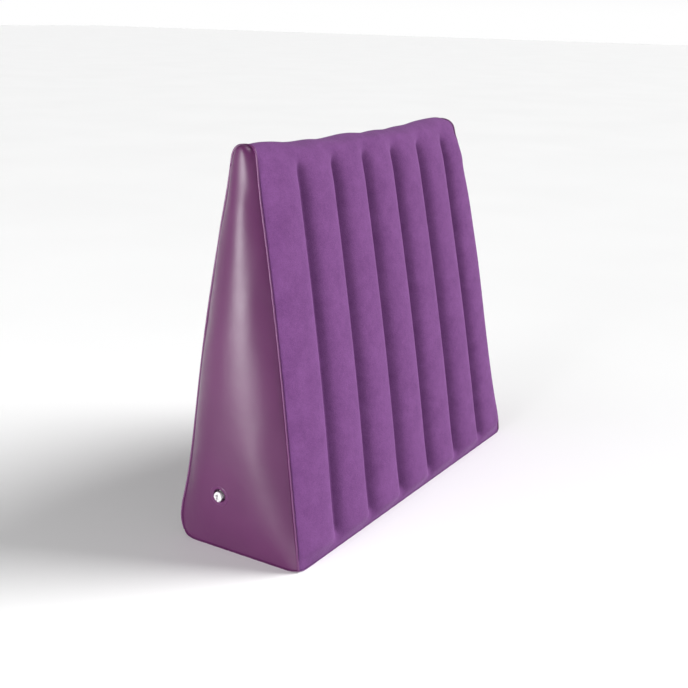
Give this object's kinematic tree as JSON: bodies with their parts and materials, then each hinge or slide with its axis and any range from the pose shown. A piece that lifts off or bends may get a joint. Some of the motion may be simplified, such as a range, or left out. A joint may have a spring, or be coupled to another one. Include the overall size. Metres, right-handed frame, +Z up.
{
  "type": "inflatable wedge cushion",
  "caption": "Inflatable wedge cushion with a flocked ribbed face, smooth end panels and a push-in mouth valve.",
  "frame": {"origin": "middle of the base, on the surface that the cushion stands on", "axes": "+X along the width, away from the valve's end; -Y towards the side that the flocked ribbed face looks to; +Z up, to the ridge"},
  "size_m": [0.6325, 0.197, 0.5205],
  "materials": {
    "flocked_vinyl": "matte",
    "smooth_vinyl": "satin",
    "tie_vinyl": "matte",
    "valve_vinyl": "satin",
    "clear_vinyl": "gloss"
  },
  "bodies": {
    "cushion": {"front_panel": "flocked_vinyl", "back_panel": "smooth_vinyl", "base_panel": "smooth_vinyl", "side_panel_left": "smooth_vinyl", "side_panel_right": "smooth_vinyl", "weld_hem_front_left": "smooth_vinyl", "weld_hem_front_right": "smooth_vinyl", "weld_hem_back_left": "smooth_vinyl", "weld_hem_back_right": "smooth_vinyl", "weld_hem_base_front": "smooth_vinyl", "weld_hem_base_back": "smooth_vinyl", "weld_hem_base_left": "smooth_vinyl", "weld_hem_base_right": "smooth_vinyl", "valve_flange": "valve_vinyl", "valve_diaphragm": "valve_vinyl", "tie_sheet_1": "tie_vinyl", "tie_sheet_2": "tie_vinyl", "tie_sheet_3": "tie_vinyl", "tie_sheet_4": "tie_vinyl", "tie_sheet_5": "tie_vinyl", "tie_sheet_6": "tie_vinyl"},
    "neck": {"valve_neck": "valve_vinyl"},
    "cap": {"valve_cap": "clear_vinyl", "cap_strap": "clear_vinyl"},
    "flap": {"check_flap": "clear_vinyl"}
  },
  "joints": [
    {"name": "neck_pull", "type": "slide", "parent": "cushion", "child": "neck", "axis": [-1, 0, 0], "range_m": [0, 0.01], "deforming": ["valve_diaphragm"]},
    {"name": "cap_pull", "type": "slide", "parent": "neck", "child": "cap", "axis": [-1, 0, 0], "range_m": [0, 0.012], "deforming": ["cap_strap"]},
    {"name": "flap_swing", "type": "hinge", "parent": "neck", "child": "flap", "pos_m": [-0.29671, 0.02, 0.0847], "axis": [0, -1, 0], "range_deg": [0, 60], "stiffness_Nm_per_rad": 0.000002}
  ]
}
